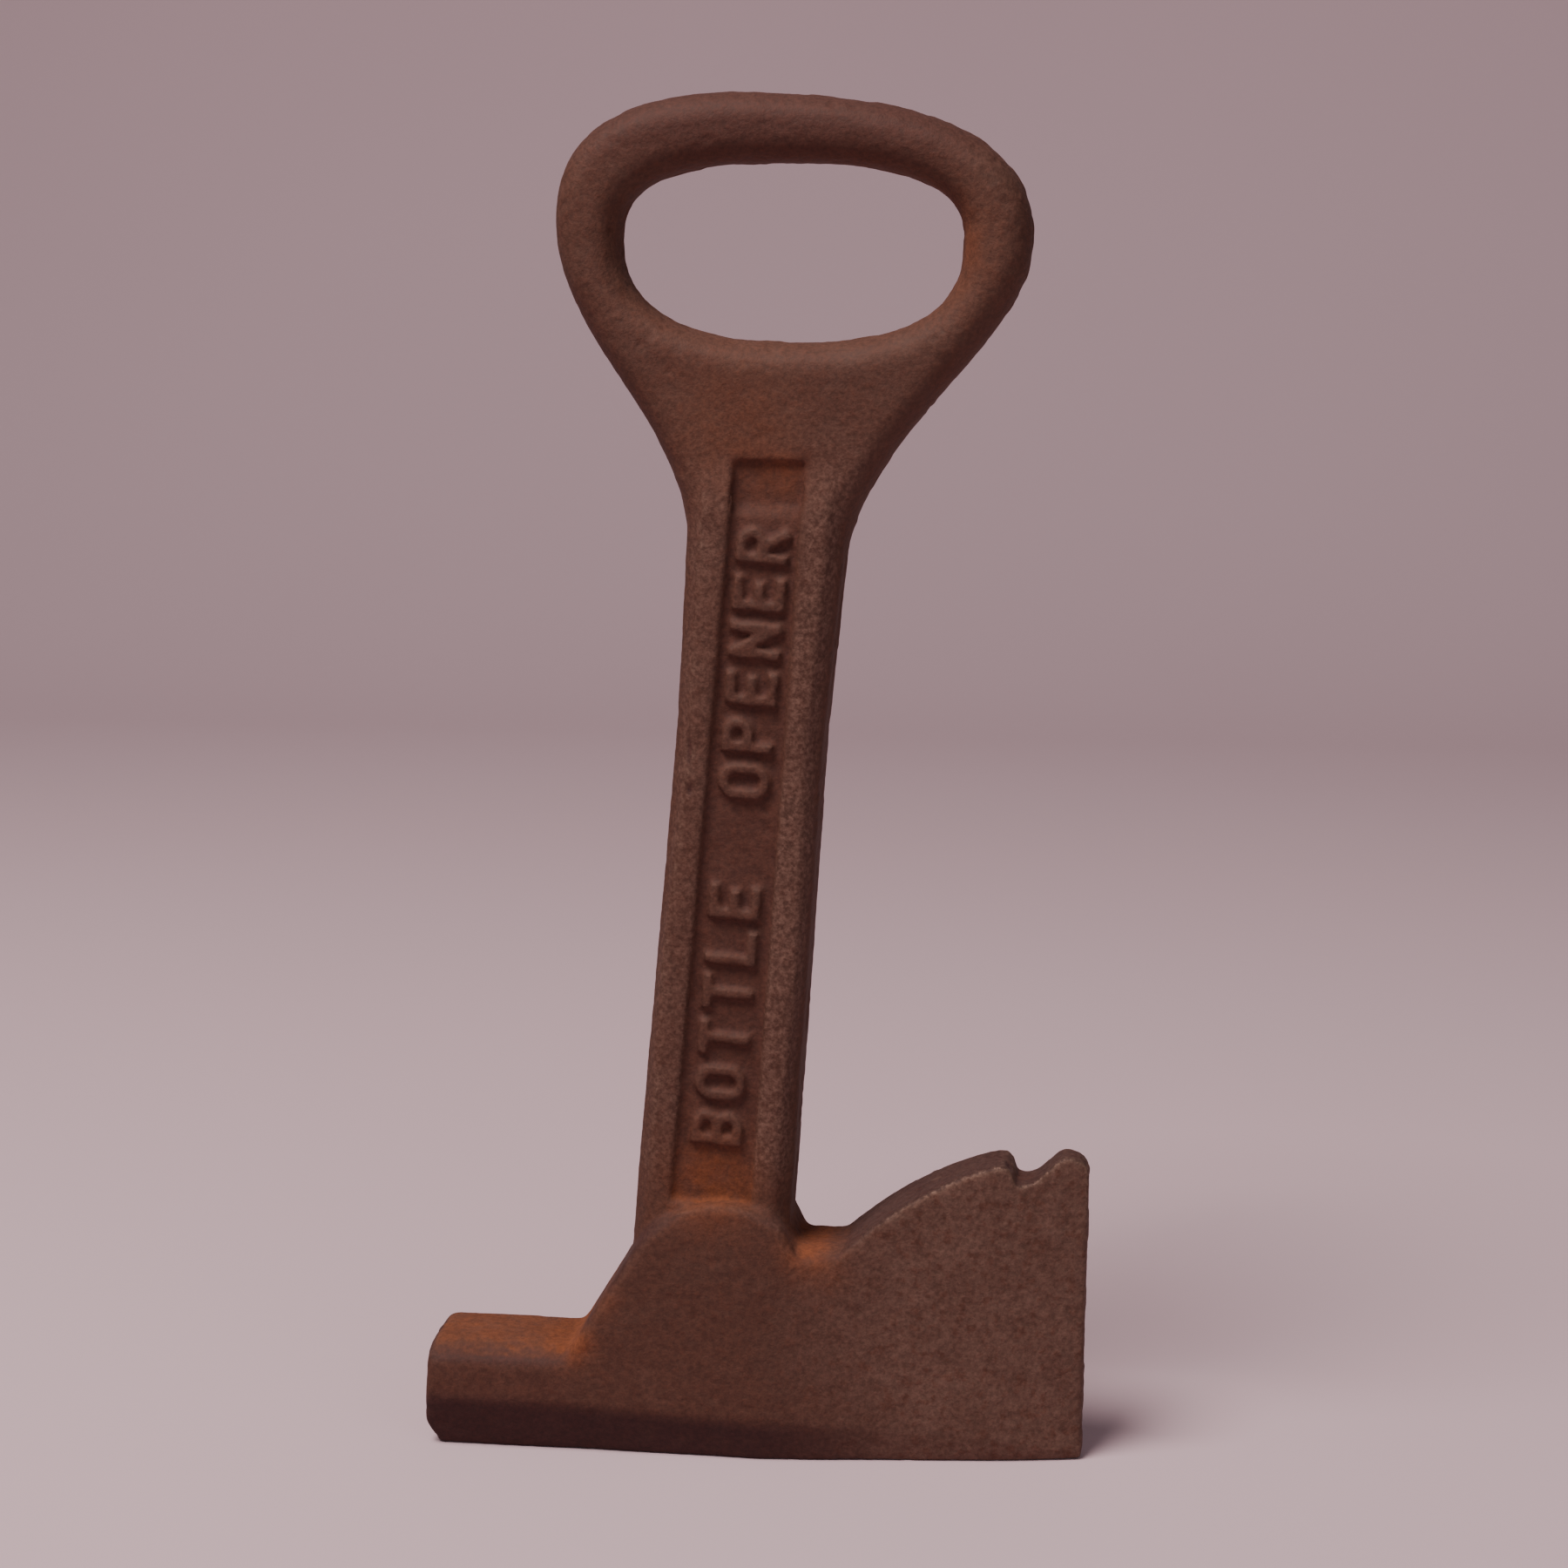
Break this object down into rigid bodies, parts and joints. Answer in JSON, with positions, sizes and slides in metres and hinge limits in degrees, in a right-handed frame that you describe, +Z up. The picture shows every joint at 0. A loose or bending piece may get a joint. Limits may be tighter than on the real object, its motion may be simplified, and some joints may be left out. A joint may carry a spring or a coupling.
{
  "type": "hatchet-shaped cast bottle opener",
  "caption": "Cast-iron bottle opener shaped like a small hatchet, with an oval opening ring at the end of a panelled handle.",
  "frame": {"origin": "centre of the bounding box on the plane that the flat of the hatchet head stands on", "axes": "+Z up towards the opening ring, +X towards the cutting edge, -Y towards the lettered face"},
  "size_m": [0.0756, 0.014, 0.153],
  "materials": {
    "rusted_iron": "bare sand-cast iron, brown with age, orange rust in the corners and worn greyer along the edges"
  },
  "bodies": {
    "root": {"opener_casting": "rusted_iron"}
  },
  "joints": []
}
